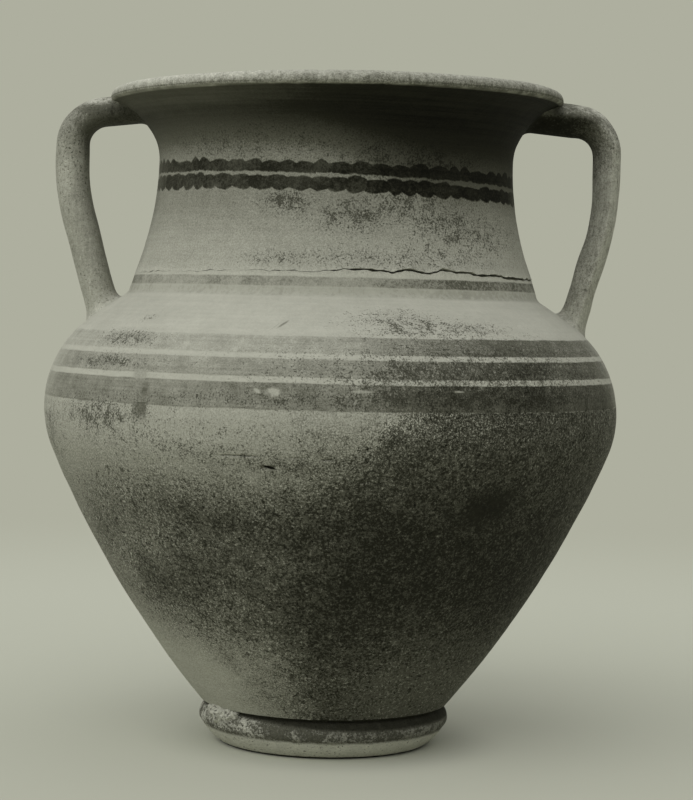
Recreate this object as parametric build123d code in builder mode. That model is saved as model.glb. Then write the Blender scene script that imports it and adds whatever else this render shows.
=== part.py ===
# A tall two-handled storage jar of fired clay, built as its potter would build it: a ring
# foot, a floor disc, two wall sections joined at the belly, a neck, a thick lip, two strap
# handles, and the soft clay that was pressed over the seams.
# Millimetres, +Z up, origin on the ground under the centre of the foot.
# The handles lie on the X axis and the front faces -Y.
from build123d import *
import os
from math import cos, radians, sin, tan

os.makedirs("parts", exist_ok=True)

# Whole jar
clay_wall = 10.0  # thickness of the thrown walls
seam_bevel = 6.0  # how far a seam climbs from the outside of the wall to the inside

# Floor and the start of the wall
wall_foot_radius = 95.2
wall_foot_width = 17.0
floor_thickness = 13.0
floor_bevel = 10.0

# Foot ring, from the ground up
foot_contact_width = 11.0
foot_top_width = 31.0
foot_band_height = 15.0  # lower bevelled band
foot_band_taper = 14.4
foot_band_bulge = 1.4
foot_step = 0.8
foot_crest_inset = 2.2  # from the crest of the moulding in to the band
foot_crest_rise = 7.5
foot_crest_fall = 6.9
foot_crest_overhang = 0.4  # from the wall's foot out to the crest
foot_groove_depth = 4.5
foot_groove_height = 2.6

# Belly and shoulder, each rise from the line below it
belly_radius = 219.0
belly_rise = 225.0
belly_curve_radius = 82.5
belly_seam_angle = 15.0  # below the widest line
lower_join_angle = 22.5  # below the widest line, where the belly runs into the lower wall
upper_join_angle = 51.0  # above the widest line, where it runs into the shoulder
shoulder_inset = 62.0
shoulder_rise = 86.0
collar_taper = 5.0
collar_rise = 17.0
collar_fillet = 8.0
inner_collar_fillet = 5.0

# Neck and lip, each rise from the line below it
neck_draw = 16.5  # from the neck's base in to its waist
neck_rise = 86.0
throat_flare = 5.5  # from the waist out to the lip's seam
throat_rise = 20.0
lip_height = 34.0
lip_overhang = 32.0
lip_edge_height = 13.0
lip_edge_fillet = 3.0
lip_top_width = 20.0
lip_outer_fillet = 7.0
lip_inner_fillet = 9.0

# Clay pressed over the seams, as half lengths along the wall and heights off it
belly_coil_length = 15.0
belly_coil_rise = 4.0
neck_coil_length = 12.0
neck_coil_rise = 3.5
floor_coil_radius = 9.0

# Lump of clay left in the groove above the foot, at the front on the left
lump_radius = 5.5
lump_start_angle = 201.0
lump_arc = 20.0

# Handles, alike on both sides
handle_top_fall = 3.0  # of the run from the neck to the bend, in degrees
handle_bend_radius = 26.0
handle_bow_radius = 180.0
handle_top_thickness = 24.0
handle_top_width = 42.0
handle_width = 36.0
handle_root_width = 40.0
handle_section_share = 0.45  # where along the strap it has its shaft's section
root_coil_height = 8.0
root_coil_spread = 8.0
root_coil_lip = 1.2

# Handles, what differs between the hand-made pair
left_top_drop = 21.0  # from the top of the jar to the strap's axis at the bend
left_knee_drop = 57.9  # from there to where the shaft starts to lean in
left_flare = 26.1  # how far the shaft stands out from its root
left_thickness = 25.0
left_root_share = 0.38  # how far up the shoulder's curve the root stands
right_top_drop = 18.0
right_knee_drop = 72.9
right_flare = 24.3
right_thickness = 20.8
right_root_share = 0.14

overrun = 2.0  # how far a cutting outline runs past what it cuts


def unit(angle):
    """Direction at an angle above +R, in the plane of radius and height."""
    return Vector(cos(radians(angle)), sin(radians(angle)))


def inward(heading):
    """Unit vector from the outside of the wall to the inside, beside an upward heading."""
    return Vector(-heading.Y, heading.X).normalized()


def mitre(corner, before, after, depth):
    """A corner of the outside line moved in by a depth from both of its edges."""
    first, second = inward(before), inward(after)
    return corner + (first + second) * (depth / (1 + first.dot(second)))


def bevelled_seam(point, heading):
    """Outer and inner end of a seam that crosses the wall and climbs as it goes in."""
    return point, point + inward(heading) * clay_wall + heading.normalized() * seam_bevel


def nearest(corners, point):
    """The corner of a sketch that lies nearest to a point."""
    return corners.sort_by_distance(point)[0]


# Outside line, drawn as radius against height
groove_radius = wall_foot_radius - foot_groove_depth
foot_radius = wall_foot_radius + foot_crest_overhang
foot_band_radius = foot_radius - foot_crest_inset
foot_contact_radius = foot_band_radius - foot_band_taper
foot_crest_height = foot_band_height + foot_crest_rise
foot_groove_start = foot_crest_height + foot_crest_fall
foot_height = foot_groove_start + foot_groove_height
floor_top = foot_height + floor_thickness
floor_radius = wall_foot_radius - wall_foot_width
belly_centre = Vector(belly_radius - belly_curve_radius, foot_height + belly_rise)
collar_corner = Vector(belly_radius - shoulder_inset, belly_centre.Y + shoulder_rise)
neck_base = collar_corner + Vector(-collar_taper, collar_rise)
waist = neck_base + Vector(-neck_draw, neck_rise)
lip_base = waist + Vector(throat_flare, throat_rise)
lip_outer_top = lip_base + Vector(lip_overhang, lip_height)
lip_edge = lip_outer_top - Vector(0, lip_edge_height)
lip_inner_top = lip_outer_top - Vector(lip_top_width, 0)
jar_height = lip_outer_top.Y

with BuildSketch() as outline:
    with BuildLine():
        Line((0, 0), (foot_contact_radius, 0))
        band = SagittaArc(
            (foot_contact_radius, 0), (foot_band_radius, foot_band_height), -foot_band_bulge
        )
        step = Line(band @ 1, band @ 1 + Vector(foot_step, foot_step))
        moulding = ThreePointArc(
            step @ 1,
            (foot_radius, foot_crest_height),
            (groove_radius, foot_groove_start),
        )
        groove = Line(moulding @ 1, (groove_radius, foot_height))
        Line(groove @ 1, (wall_foot_radius, foot_height))
        belly = CenterArc(
            belly_centre, belly_curve_radius, -lower_join_angle, lower_join_angle + upper_join_angle
        )
        TangentArc(belly @ 0, (wall_foot_radius, foot_height), tangent=-(belly % 0))
        shoulder = TangentArc(belly @ 1, collar_corner, tangent=belly % 1)
        collar = Line(collar_corner, neck_base)
        neck_low = TangentArc(waist, neck_base, tangent=(0, -1))
        neck_high = TangentArc(waist, lip_base, tangent=(0, 1))
        TangentArc(lip_base, lip_edge, tangent=neck_high % 1)
        Polyline(lip_edge, lip_outer_top, (0, jar_height), (0, 0))
    make_face()
    fillet(nearest(outline.vertices(), collar_corner), collar_fillet)
    fillet(nearest(outline.vertices(), lip_edge), lip_edge_fillet)
    fillet(nearest(outline.vertices(), lip_outer_top), lip_outer_fillet)

# Seams, each from the outside of the wall to the inside
far_radius = belly_radius + overrun
belly_seam_point = belly_centre + unit(-belly_seam_angle) * belly_curve_radius
belly_seam_heading = unit(90 - belly_seam_angle)
neck_seam_heading = -(neck_low % 1)
belly_seam = bevelled_seam(belly_seam_point, belly_seam_heading)
neck_seam = bevelled_seam(neck_base, neck_seam_heading)
lip_seam = bevelled_seam(lip_base, neck_high % 1)

# Inside line, a wall's thickness in from the outside line
inner_curve_radius = belly_curve_radius - clay_wall
inner_collar_corner = mitre(collar_corner, shoulder % 1, collar % 0, clay_wall)
inner_waist = waist - Vector(clay_wall, 0)
floor_edge = Vector(floor_radius + floor_bevel, floor_top)

with BuildSketch() as cavity:
    with BuildLine():
        Polyline((0, jar_height), (0, floor_top), floor_edge)
        inner_belly = CenterArc(
            belly_centre, inner_curve_radius, -lower_join_angle, lower_join_angle + upper_join_angle
        )
        TangentArc(inner_belly @ 0, floor_edge, tangent=-(inner_belly % 0))
        TangentArc(inner_belly @ 1, inner_collar_corner, tangent=inner_belly % 1)
        Line(inner_collar_corner, neck_seam[1])
        TangentArc(inner_waist, neck_seam[1], tangent=(0, -1))
        inner_neck = TangentArc(inner_waist, lip_seam[1], tangent=(0, 1))
        TangentArc(lip_seam[1], lip_inner_top, tangent=inner_neck % 1)
        Line(lip_inner_top, (0, jar_height))
    make_face()
    fillet(nearest(cavity.vertices(), inner_collar_corner), inner_collar_fillet)

# The whole jar without its hollow, which trims what is pressed on from outside
with BuildPart() as jar_blank:
    with BuildSketch(Plane.XZ):
        add(outline.sketch)
    revolve(axis=Axis.Z)


def across_seam(seam):
    """Path from the axis outwards that crosses the wall along a seam."""
    outer, inner = seam
    past = (inner - outer).normalized() * overrun
    inner_end, outer_end = inner + past, outer - past
    return [(0, inner_end.Y), inner_end, outer_end, (far_radius, outer_end.Y)]


def wall_section(lower_path, upper_path):
    """Draw the wall's section between two paths, in the sketch that calls it."""
    add(outline.sketch)
    add(cavity.sketch, mode=Mode.SUBTRACT)
    with BuildLine() as region:
        Polyline(*lower_path, *reversed(upper_path), close=True)
    make_face(region.edges(), mode=Mode.INTERSECT)


def save(piece, name):
    """Label a finished piece and write it under its name."""
    piece.part.label = name
    export_step(piece.part, f"parts/{name}.step")


# Ring foot, thrown as a separate ring, with a moulded outside and a hollow underneath
with BuildPart() as foot_ring:
    with BuildSketch(Plane.XZ):
        add(outline.sketch)
        with BuildLine():
            Polyline(
                (foot_contact_radius - foot_contact_width, 0),
                (foot_radius + overrun, 0),
                (foot_radius + overrun, foot_height),
                (groove_radius - foot_top_width, foot_height),
                close=True,
            )
        make_face(mode=Mode.INTERSECT)
    revolve(axis=Axis.Z)
save(foot_ring, "foot_ring")

# Floor disc, with a bevelled edge that the lower wall stands against
with BuildPart() as floor_disc:
    with BuildSketch(Plane.XZ):
        with BuildLine():
            Polyline(
                (0, foot_height), (floor_radius, foot_height), floor_edge, (0, floor_top), close=True
            )
        make_face()
    revolve(axis=Axis.Z)
save(floor_disc, "floor_disc")

# Lower wall, from the foot to the seam under the widest line
with BuildPart() as lower_wall:
    with BuildSketch(Plane.XZ):
        wall_section(
            [(0, floor_top), floor_edge, (floor_radius, foot_height), (far_radius, foot_height)],
            across_seam(belly_seam),
        )
    revolve(axis=Axis.Z)
save(lower_wall, "lower_wall")

# Upper wall, with the widest line, the shoulder and the collar that carries the neck
with BuildPart() as upper_wall:
    with BuildSketch(Plane.XZ):
        wall_section(across_seam(belly_seam), across_seam(neck_seam))
    revolve(axis=Axis.Z)
save(upper_wall, "upper_wall")

# Neck, drawn in to its waist and flaring again to the lip
with BuildPart() as neck:
    with BuildSketch(Plane.XZ):
        wall_section(across_seam(neck_seam), across_seam(lip_seam))
    revolve(axis=Axis.Z)
save(neck, "neck")

# Lip, a thick everted ring with a flat top
with BuildPart() as lip:
    with BuildSketch(Plane.XZ) as lip_section:
        wall_section(across_seam(lip_seam), [(0, jar_height), (far_radius, jar_height)])
        fillet(nearest(lip_section.vertices(), lip_inner_top), lip_inner_fillet)
    revolve(axis=Axis.Z)
save(lip, "lip")


def pressed_coil(point, heading, length, rise):
    """Draw what of a flattened coil of clay, laid over a seam, lies inside the jar."""
    slope = Vector(1, 0).get_signed_angle(heading)
    add(cavity.sketch)
    with Locations(Location(point, slope)):
        Ellipse(length, rise, mode=Mode.INTERSECT)


# Coils of clay that the potter pressed over the seams inside the jar
with BuildPart() as floor_seam_coil:
    with BuildSketch(Plane.XZ):
        pressed_coil(floor_edge, unit(0), floor_coil_radius, floor_coil_radius)
    revolve(axis=Axis.Z)
save(floor_seam_coil, "floor_seam_coil")

with BuildPart() as belly_seam_coil:
    with BuildSketch(Plane.XZ):
        pressed_coil(belly_seam[1], belly_seam_heading, belly_coil_length, belly_coil_rise)
    revolve(axis=Axis.Z)
save(belly_seam_coil, "belly_seam_coil")

with BuildPart() as neck_seam_coil:
    with BuildSketch(Plane.XZ):
        pressed_coil(neck_seam[1], neck_seam_heading, neck_coil_length, neck_coil_rise)
    revolve(axis=Axis.Z)
save(neck_seam_coil, "neck_seam_coil")

# Lump of luting clay that bridges the groove between the foot and the body
with BuildPart() as foot_seam_lump:
    with BuildSketch(Plane.XZ.rotated((0, 0, lump_start_angle))):
        with Locations((groove_radius + lump_radius / 2, foot_groove_start)):
            Circle(lump_radius)
    revolve(axis=Axis.Z, revolution_arc=lump_arc)
    add(jar_blank.part, mode=Mode.SUBTRACT)
save(foot_seam_lump, "foot_seam_lump")


def handle_pieces(side, name, top_drop, knee_drop, flare, thickness, root_share):
    """Make a strap handle and the coil of clay wiped round its root."""
    root = shoulder @ root_share
    normal = -inward(shoulder % root_share)
    bend = Vector(root.X + flare, jar_height - top_drop)
    knee = bend - Vector(0, knee_drop)
    axis = (knee - root).normalized()
    rise = (bend.X - waist.X) * tan(radians(handle_top_fall))
    foot_end = root - axis * thickness

    def placed(point):
        return Vector(side * point.X, 0, point.Y)

    def across(point, heading):
        return Plane(placed(point), x_dir=(0, 1, 0), z_dir=placed(heading))

    with BuildPart() as handle:
        with BuildLine() as spine:
            FilletPolyline(
                placed(Vector(waist.X, bend.Y + rise)),
                placed(bend),
                placed(knee),
                placed(foot_end),
                radius=(handle_bend_radius, handle_bow_radius),
            )
        path = spine.wires()[0]
        sections = (
            (0, handle_top_width, handle_top_thickness),
            (handle_section_share, handle_width, thickness),
            (1, handle_root_width, thickness),
        )
        for share, width, depth in sections:
            with BuildSketch(Plane(path @ share, x_dir=(0, 1, 0), z_dir=path % share)):
                Ellipse(width / 2, depth / 2)
        sweep(path=path, multisection=True)
        add(jar_blank.part, mode=Mode.SUBTRACT)
    save(handle, f"{name}_handle")

    with BuildPart() as coil:
        steps = (
            (-root_coil_height / 2, root_coil_spread),
            (root_coil_height / 3, (root_coil_spread + root_coil_lip) / 3),
            (root_coil_height, root_coil_lip),
        )
        for height, spread in steps:
            centre = root + axis * (height / axis.dot(normal))
            with BuildSketch(across(centre, normal)):
                Ellipse(handle_root_width / 2 + spread, thickness / 2 + spread)
        loft()
        add(jar_blank.part, mode=Mode.SUBTRACT)
        add(handle.part, mode=Mode.SUBTRACT)
    save(coil, f"{name}_root_coil")


handle_pieces(
    -1, "left", left_top_drop, left_knee_drop, left_flare, left_thickness, left_root_share
)
handle_pieces(
    1, "right", right_top_drop, right_knee_drop, right_flare, right_thickness, right_root_share
)
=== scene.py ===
# A two-handled storage jar of fired clay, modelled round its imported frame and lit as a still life.
# Metres, +Z up. Angles round the jar count from the front (-Y), positive towards +X.
from functools import partialmethod
from itertools import product
from math import atan2, copysign, cos, pi, radians, sin, tan

import bpy
import numpy as np
from mathutils import Matrix


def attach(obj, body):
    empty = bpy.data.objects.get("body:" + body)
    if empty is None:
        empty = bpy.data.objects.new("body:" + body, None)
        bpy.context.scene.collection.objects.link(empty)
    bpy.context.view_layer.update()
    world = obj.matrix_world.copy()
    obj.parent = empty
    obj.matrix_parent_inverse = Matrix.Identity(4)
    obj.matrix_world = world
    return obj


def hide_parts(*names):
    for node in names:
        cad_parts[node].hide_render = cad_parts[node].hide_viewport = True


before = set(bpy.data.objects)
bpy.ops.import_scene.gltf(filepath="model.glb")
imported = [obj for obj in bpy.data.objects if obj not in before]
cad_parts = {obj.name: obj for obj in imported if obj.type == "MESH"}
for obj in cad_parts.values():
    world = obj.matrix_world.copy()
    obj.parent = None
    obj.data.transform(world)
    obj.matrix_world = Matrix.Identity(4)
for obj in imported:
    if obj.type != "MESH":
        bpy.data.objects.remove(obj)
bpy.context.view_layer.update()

# Wall and seams
clay_wall = 0.010
seam_bevel = 0.006

# Floor and the start of the wall
wall_foot_radius = 0.0952
wall_foot_width = 0.017
floor_thickness = 0.013
floor_bevel = 0.010

# Foot ring
foot_contact_width = 0.011
foot_top_width = 0.031
foot_band_height = 0.015
foot_band_taper = 0.0144
foot_band_bulge = 0.0014
foot_step = 0.0008
foot_crest_inset = 0.0022
foot_crest_rise = 0.0075
foot_crest_fall = 0.0069
foot_crest_overhang = 0.0004
foot_groove_depth = 0.0045
foot_groove_height = 0.0026

# Belly and shoulder
belly_radius = 0.219
belly_rise = 0.225
belly_curve_radius = 0.0825
belly_seam_angle = radians(15)
lower_join_angle = radians(22.5)
upper_join_angle = radians(51)
shoulder_inset = 0.062
shoulder_rise = 0.086
collar_taper = 0.005
collar_rise = 0.017
collar_fillet = 0.008
inner_collar_fillet = 0.005

# Neck and lip
neck_draw = 0.0165
neck_rise = 0.086
throat_flare = 0.0055
throat_rise = 0.020
lip_height = 0.034
lip_overhang = 0.032
lip_edge_height = 0.0088
lip_edge_fillet = 0.003
lip_top_width = 0.020
lip_outer_fillet = 0.007
lip_inner_fillet = 0.009

# Clay pressed over the seams
belly_coil_length = 0.015
belly_coil_rise = 0.004
neck_coil_length = 0.012
neck_coil_rise = 0.0035
floor_coil_radius = 0.009

# Mesh spacing
FINE = 0.0024
COARSE = 0.008
FINEST = 0.0006
SEGMENTS = 560


def unit(angle):
    return np.array([cos(angle), sin(angle)])


def left_of(heading):
    return np.array([-heading[1], heading[0]])


def lengths(vectors):
    return np.linalg.norm(vectors, axis=-1)


def directions(vectors):
    return vectors / lengths(vectors)[..., None]


def heading_from(start, end):
    return directions(end - start)


def full_turn(count):
    """Evenly spaced angles, all the way round."""
    return np.linspace(-pi, pi, count, endpoint=False)


def straight(start, end, step=FINE):
    """Points along a line."""
    start, end = np.array(start), np.array(end)
    count = max(2, int(np.ceil(lengths(end - start) / step)) + 1)
    return np.linspace(start, end, count)


def arc(centre, radius, first, last, step=FINE):
    """Points along an arc, from one angle to another."""
    count = max(3, int(np.ceil(abs(last - first) * radius / step)) + 1)
    angles = np.linspace(first, last, count)
    return np.array(centre) + radius * np.c_[np.cos(angles), np.sin(angles)]


def tangent_arc(start, heading, end, step=FINE):
    """Points along the arc that leaves start along a heading."""
    side = left_of(heading)
    chord = end - start
    reach = chord @ chord / (2 * side @ chord)
    centre = start + side * reach
    first = atan2(*(start - centre)[::-1])
    last = atan2(*(end - centre)[::-1])
    while reach * (last - first) < 0:
        last += copysign(2 * pi, reach)
    return arc(centre, abs(reach), first, last, step)


def heading_after(start, heading, end):
    """Heading at the end of a tangent arc."""
    along = heading_from(start, end)
    return 2 * (heading @ along) * along - heading


def arc_through(start, middle, end, step=FINE):
    """Points along the arc through three points."""
    along, across = middle - start, end - start
    rows = 2 * np.array([along, across])
    centre = start + np.linalg.solve(rows, np.array([along @ along, across @ across]))
    radius = lengths(start - centre)
    angles = [atan2(*(p - centre)[::-1]) for p in (start, middle, end)]
    angles = np.unwrap(angles)
    return arc(centre, radius, angles[0], angles[2], step)


def chain(*runs):
    """Runs of points end to end, none doubled."""
    points = np.vstack(runs)
    return points[np.r_[True, lengths(np.diff(points, axis=0)) > 1e-7]]


def eased(first, second, radius):
    """Two runs with a fillet at their corner."""
    corner = first[-1]
    before, after = heading_from(first[-2], corner), heading_from(corner, second[1])
    turn = np.arccos(np.clip(before @ after, -1, 1))
    cut = radius * tan(turn / 2)
    far_before = first[lengths(first - corner) > cut * 1.02]
    far_after = second[lengths(second - corner) > cut * 1.02]
    start, end = corner - before * cut, corner + after * cut
    bend = tangent_arc(start, before, end, radius * turn / 8)
    return chain(far_before, bend, far_after)


def finer_between(line, low, high, step):
    """A line with extra points between two heights."""
    runs = [line[:1]]
    for start, end in zip(line[:-1], line[1:]):
        middle = (start[1] + end[1]) / 2
        runs.append(straight(start, end, step if low < middle < high else FINE))
    return chain(*runs)


def bevelled_seam(point, heading):
    """Both ends of a seam that climbs inwards across the wall."""
    return point, point + left_of(heading) * clay_wall + heading * seam_bevel


# Corners of the outside line, as radius and height
groove_radius = wall_foot_radius - foot_groove_depth
foot_radius = wall_foot_radius + foot_crest_overhang
foot_band_radius = foot_radius - foot_crest_inset
foot_contact_radius = foot_band_radius - foot_band_taper
foot_groove_start = foot_band_height + foot_crest_rise + foot_crest_fall
foot_height = foot_groove_start + foot_groove_height
floor_top = foot_height + floor_thickness
wall_foot = np.array([wall_foot_radius, foot_height])
floor_edge = np.array([wall_foot_radius - wall_foot_width + floor_bevel, floor_top])
belly_centre = np.array([belly_radius - belly_curve_radius, foot_height + belly_rise])
collar_corner = np.array([belly_radius - shoulder_inset, belly_centre[1] + shoulder_rise])
neck_base = collar_corner + np.array([-collar_taper, collar_rise])
waist = neck_base + np.array([-neck_draw, neck_rise])
lip_base = waist + np.array([throat_flare, throat_rise])
lip_outer_top = lip_base + np.array([lip_overhang, lip_height])
lip_edge = lip_outer_top - np.array([0, lip_edge_height])
lip_inner_top = lip_outer_top - np.array([lip_top_width, 0])
jar_height = lip_outer_top[1]
UP, DOWN = np.array([0.0, 1.0]), np.array([0.0, -1.0])

# Outside line of each section, from low to high
band_start = np.array([foot_contact_radius, 0])
band_end = np.array([foot_band_radius, foot_band_height])
band_outward = -left_of(heading_from(band_start, band_end))
band_middle = (band_start + band_end) / 2 + band_outward * foot_band_bulge
step_end = band_end + foot_step
crest = np.array([foot_radius, foot_band_height + foot_crest_rise])
groove_start = np.array([groove_radius, foot_groove_start])
groove_end = np.array([groove_radius, foot_height])
foot_outside = chain(
    arc_through(band_start, band_middle, band_end, FINE / 2),
    straight(band_end, step_end, FINE / 3),
    arc_through(step_end, crest, groove_start, FINE / 2),
    straight(groove_start, groove_end, FINE / 3),
)

belly_start = belly_centre + unit(-lower_join_angle) * belly_curve_radius
belly_end = belly_centre + unit(upper_join_angle) * belly_curve_radius
start_heading, end_heading = left_of(unit(-lower_join_angle)), left_of(unit(upper_join_angle))
lower_outside = chain(
    tangent_arc(belly_start, -start_heading, wall_foot)[::-1],
    arc(belly_centre, belly_curve_radius, -lower_join_angle, -belly_seam_angle),
)
shoulder = tangent_arc(belly_end, end_heading, collar_corner)
upper_outside = eased(
    chain(arc(belly_centre, belly_curve_radius, -belly_seam_angle, upper_join_angle), shoulder),
    straight(collar_corner, neck_base),
    collar_fillet,
)
neck_outside = chain(tangent_arc(waist, DOWN, neck_base)[::-1], tangent_arc(waist, UP, lip_base))
throat_heading = heading_after(waist, UP, lip_base)
lip_underside = tangent_arc(lip_base, throat_heading, lip_edge)
lip_face = straight(lip_edge, lip_outer_top)
lip_outside = eased(
    eased(lip_underside, lip_face, lip_edge_fillet),
    straight(lip_outer_top, lip_inner_top),
    lip_outer_fillet,
)

# Seams
belly_seam = bevelled_seam(lower_outside[-1], left_of(unit(-belly_seam_angle)))
neck_seam = bevelled_seam(neck_base, -heading_after(waist, DOWN, neck_base))
lip_seam = bevelled_seam(lip_base, throat_heading)

# Inside line of each section, from low to high
inner_curve_radius = belly_curve_radius - clay_wall
inner_start = belly_centre + unit(-lower_join_angle) * inner_curve_radius
inner_end = belly_centre + unit(upper_join_angle) * inner_curve_radius
seam_angle = atan2(*(belly_seam[1] - belly_centre)[::-1])
shoulder_heading = heading_after(belly_end, end_heading, collar_corner)
collar_heading = heading_from(collar_corner, neck_base)
inner_turn = left_of(shoulder_heading) + left_of(collar_heading)
inner_corner = collar_corner + inner_turn * clay_wall / (1 + shoulder_heading @ collar_heading)
inner_waist = waist - np.array([clay_wall, 0])
lower_inside = chain(
    tangent_arc(inner_start, -start_heading, floor_edge, COARSE)[::-1],
    arc(belly_centre, inner_curve_radius, -lower_join_angle, seam_angle, COARSE),
)
upper_inside = eased(
    chain(
        arc(belly_centre, inner_curve_radius, seam_angle, upper_join_angle, COARSE),
        tangent_arc(inner_end, end_heading, inner_corner, COARSE),
    ),
    straight(inner_corner, neck_seam[1], COARSE),
    inner_collar_fillet,
)
neck_inside = chain(
    tangent_arc(inner_waist, DOWN, neck_seam[1], COARSE)[::-1],
    tangent_arc(inner_waist, UP, lip_seam[1], COARSE),
)
lip_inside = tangent_arc(
    lip_seam[1], heading_after(inner_waist, UP, lip_seam[1]), lip_inner_top, FINE
)

outside_line = chain(lower_outside, upper_outside, neck_outside, lip_outside[: len(lip_outside) // 2])
outside_line = outside_line[np.r_[True, np.diff(outside_line[:, 1]) > 0]]


def radius_at(height):
    """Radius of the jar's outside at a height."""
    return np.interp(height, outside_line[:, 1], outside_line[:, 0])


# Primes that spread whole-numbered cells and seeds over the integers
cell_primes, seed_prime = np.array([73856093, 19349663, 83492791]), 15485863


def mixed_bits(cells, seed):
    """Even random numbers from 0 to 1, one for each whole-numbered cell."""
    mixed = (cells * cell_primes).sum(-1) + seed * seed_prime
    mixed = (mixed ^ (mixed >> 13)) * 1274126177 & 0xFFFFFFFF
    mixed = (mixed ^ (mixed >> 16)) * 2246822519 & 0xFFFFFFFF
    return (mixed >> 8 & 0xFFFF) / 0xFFFF


def lumps(points, size, seed):
    """Smooth random field from -1 to 1, with lumps of one size."""
    cells = points / size
    base = np.floor(cells)
    part = cells - base
    part = part * part * (3 - 2 * part)
    total = 0
    for corner in product((0, 1), repeat=3):
        weight = np.prod(np.where(np.array(corner) > 0, part, 1 - part), axis=-1)
        total = total + weight * mixed_bits((base + corner).astype(np.int64), seed)
    return 2 * total - 1


def layered(points, *layers):
    """Random fields laid over each other: height, size, seed and any scales of x, y and z."""
    return sum(
        height * lumps(points * np.array(scales or (1, 1, 1)), size, seed)
        for height, size, seed, *scales in layers
    )


def smooth(value, low, high):
    """Eased step from 0 at low to 1 at high."""
    share = np.clip((value - low) / (high - low), 0, 1)
    return share * share * (3 - 2 * share)


def bell(value, middle, half_width):
    """1 at the middle, fading out on both sides."""
    return np.exp(-(((value - middle) / half_width) ** 2))


angles = full_turn(SEGMENTS)


def swung(radius, height, turn):
    """Points at a radius and height, swung to an angle round the jar."""
    return np.stack([radius * np.sin(turn), -radius * np.cos(turn), height + 0 * turn], axis=-1)


def turned_points(line, turns=angles):
    """Points of a line of radius and height, swung to each angle round the jar."""
    return swung(line[:, 0][:, None], line[:, 1][:, None], turns)


def angle_of(points):
    """Angle round the jar, in degrees."""
    return np.degrees(np.arctan2(points[..., 0], -points[..., 1]))


# Hand of the potter outside: dents, hollows, throwing ridges and grain, as height, size and seed
outer_layers = (
    (0.0007, 0.11, 1),
    (0.00022, 0.030, 2),
    (0.00013, 0.0075, 3, 0.08, 0.08, 1),
    (0.00008, 0.006, 4),
)
# Inside: the same dents, and deeper finger ridges that nobody smoothed
inner_layers = (0.0007, 0.11, 5), (0.0007, 0.016, 6, 0.05, 0.05, 1)
# Height over the ground at which the relief is full, so that the foot stands flat
relief_start = 0.008

# The rim dried a little higher on one side
rim_tilt = 0.013
tilt_start = 0.38


def settled(points):
    """Points moved as the rim settled before firing."""
    moved = np.array(points, dtype=float)
    share = smooth(moved[..., 2], tilt_start, jar_height)
    moved[..., 2] += rim_tilt * moved[..., 0] * share
    return moved


sharp_edge = radians(42)


def add_object(name, data):
    """A new object in the scene."""
    made = bpy.data.objects.new(name, data)
    bpy.context.scene.collection.objects.link(made)
    return made


def add_piece(name, points, faces, node, materials, inner_faces=()):
    """A closed mesh that rides on the jar and stands for a node."""
    mesh = bpy.data.meshes.new(name)
    mesh.from_pydata(np.asarray(points).reshape(-1, 3).tolist(), [], faces)
    for material in materials:
        mesh.materials.append(material)
    if len(inner_faces):
        mesh.polygons.foreach_set("material_index", np.asarray(inner_faces, dtype=np.int32))
    mesh.update()
    piece = add_object(name, mesh)
    mesh.shade_smooth()
    mesh.set_sharp_from_angle(angle=sharp_edge)
    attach(piece, "root")
    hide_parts(node)


def ring_faces(rows, columns, close_rows=True):
    """Faces of a grid closed across its columns, and if asked across its rows."""
    row = np.arange(rows if close_rows else rows - 1)
    here, right = np.meshgrid(row, np.arange(columns), indexing="ij")
    after, beside = (here + 1) % rows, (right + 1) % columns
    corners = ((here, right), (here, beside), (after, beside), (after, right))
    quads = np.stack([line * columns + column for line, column in corners], axis=-1)
    return quads.reshape(-1, 4).tolist()


def tube_faces(rows, columns):
    """Faces of a tube, closed at both ends."""
    last = (rows - 1) * columns
    ends = [list(range(columns))[::-1], list(range(last, last + columns))]
    return ring_faces(rows, columns, close_rows=False) + ends


def headings(line):
    """Heading at each point of a line."""
    return directions(np.gradient(line, axis=0))


def surface_grid(outside, loop, extra=None):
    """Swing a closed section round the jar and press the potter's relief into it."""
    gaps = lengths(loop[:, None] - outside)
    nearest = gaps.argmin(axis=1)
    depth = np.clip(gaps.min(axis=1) / clay_wall, 0, 1)[:, None]
    along = headings(outside)[nearest]
    anchor = turned_points(outside[nearest])
    relief = (1 - depth) * layered(anchor, *outer_layers) - depth * layered(anchor, *inner_layers)
    if extra is not None:
        relief = relief + (1 - depth) * extra(anchor)
    relief = relief * smooth(anchor[..., 2], 0.0, relief_start)
    out, up = along[:, 1][:, None], -along[:, 0][:, None]
    points = turned_points(loop) + swung(relief * out, relief * up, angles)
    return points, depth


# Crack round the neck's base: angle in degrees, height over the seam and width, in millimetres
crack_line = (
    (-180, -0.6, 0.0), (-130, 0.8, 0.0), (-81, -2.0, 0.0), (-60, -1.5, 0.25), (-49, -1.2, 0.0),
    (-34, -0.3, 0.3), (-28, 0.2, 0.0), (-16, -0.3, 0.25), (-9, 0.0, 0.35), (-4, 0.4, 0.15), (-1, 0.5, 0.6),
    (3, 1.6, 0.5), (5.7, 2.4, 0.7), (10.3, 2.2, 1.0), (13, 1.2, 0.8), (15.8, 0.9, 1.0), (18, 2.6, 1.0),
    (19.6, 3.6, 1.2), (22, 2.4, 1.1), (26, 1.4, 0.9), (29, 2.6, 1.1), (30.9, 3.5, 1.2), (34, 2.2, 1.0),
    (39.7, 1.3, 1.1), (48.5, 0.5, 1.1), (62, -0.5, 1.2), (74, -1.2, 1.1), (95, -1.5, 0.7), (118, 0.3, 0.3),
    (135, 0.6, 0.0), (180, -0.6, 0.0),
)
crack_reach, crack_full_width, crack_width_share = 0.018, 0.0008, 1.6
# How the crack wavers, as height, size and seed, and how much more each of its edges does
crack_waver = (0.0007, 0.0035, 11), (0.0007, 0.009, 12)
crack_edge_waver, crack_edge_size, crack_edge_seed = 0.00056, 0.003, 13


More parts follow.
